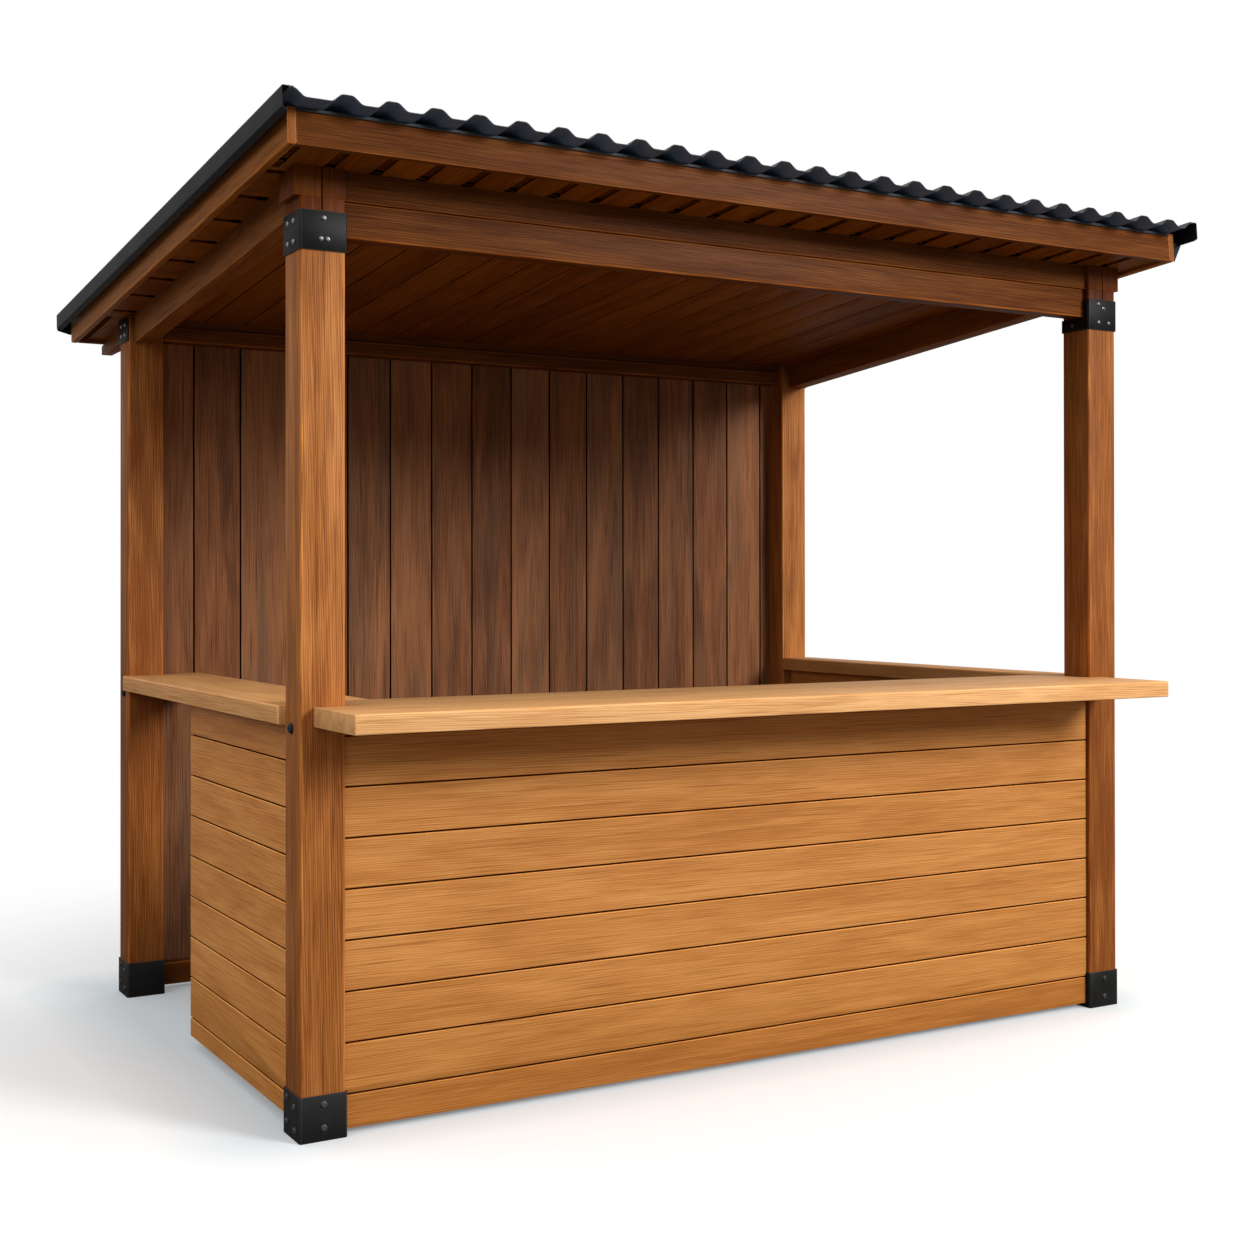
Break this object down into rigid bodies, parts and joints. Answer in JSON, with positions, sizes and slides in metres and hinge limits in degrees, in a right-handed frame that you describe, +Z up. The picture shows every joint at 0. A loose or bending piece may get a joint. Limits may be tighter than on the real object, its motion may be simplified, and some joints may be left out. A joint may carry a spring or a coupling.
{
  "type": "wooden market stall",
  "caption": "Open timber market stall: posts in steel shoes, boarded back wall, serving counter with side shelves, boarded panels below and a single-pitch corrugated metal roof.",
  "frame": {"origin": "on the ground below the middle of the overall box", "axes": "+X to the right along the serving front, -Y towards the customers, +Z up"},
  "size_m": [3.108, 2.5932, 2.5964],
  "materials": {
    "frame_timber": "satin stain",
    "wall_timber": "matt dark stain",
    "ceiling_timber": "matt stain",
    "counter_timber": "oiled oak",
    "panel_timber": "oiled oak boards",
    "black_steel": "satin black powder coat",
    "roof_metal": "matt anthracite coat"
  },
  "bodies": {
    "root": {"back_bottom_rail": "wall_timber", "back_drip_trim": "roof_metal", "back_fascia": "frame_timber", "back_plate": "wall_timber", "back_soffit": "ceiling_timber", "back_top_rail": "wall_timber", "back_wall": "wall_timber", "bracket_left": "black_steel", "bracket_right": "black_steel", "ceiling": "ceiling_timber", "collar_left": "black_steel", "collar_right": "black_steel", "counter_top": "counter_timber", "front_drip_trim": "roof_metal", "front_fascia": "frame_timber", "front_header": "frame_timber", "front_panel": "panel_timber", "front_panel_frame": "wall_timber", "front_plate": "frame_timber", "front_post_heads": "frame_timber", "front_soffit": "ceiling_timber", "left_barge_board": "frame_timber", "left_panel": "panel_timber", "left_panel_frame": "wall_timber", "left_rafter": "frame_timber", "left_shelf": "counter_timber", "left_soffit": "ceiling_timber", "left_verge_flashing": "roof_metal", "post_back_left": "frame_timber", "post_back_right": "frame_timber", "post_front_left": "frame_timber", "post_front_right": "frame_timber", "purlins": "ceiling_timber", "right_barge_board": "frame_timber", "right_panel": "panel_timber", "right_panel_frame": "wall_timber", "right_rafter": "frame_timber", "right_shelf": "counter_timber", "right_soffit": "ceiling_timber", "right_verge_flashing": "roof_metal", "roof_sheet": "roof_metal", "shoe_back_left": "black_steel", "shoe_back_right": "black_steel", "shoe_front_left": "black_steel", "shoe_front_right": "black_steel"}
  },
  "joints": []
}
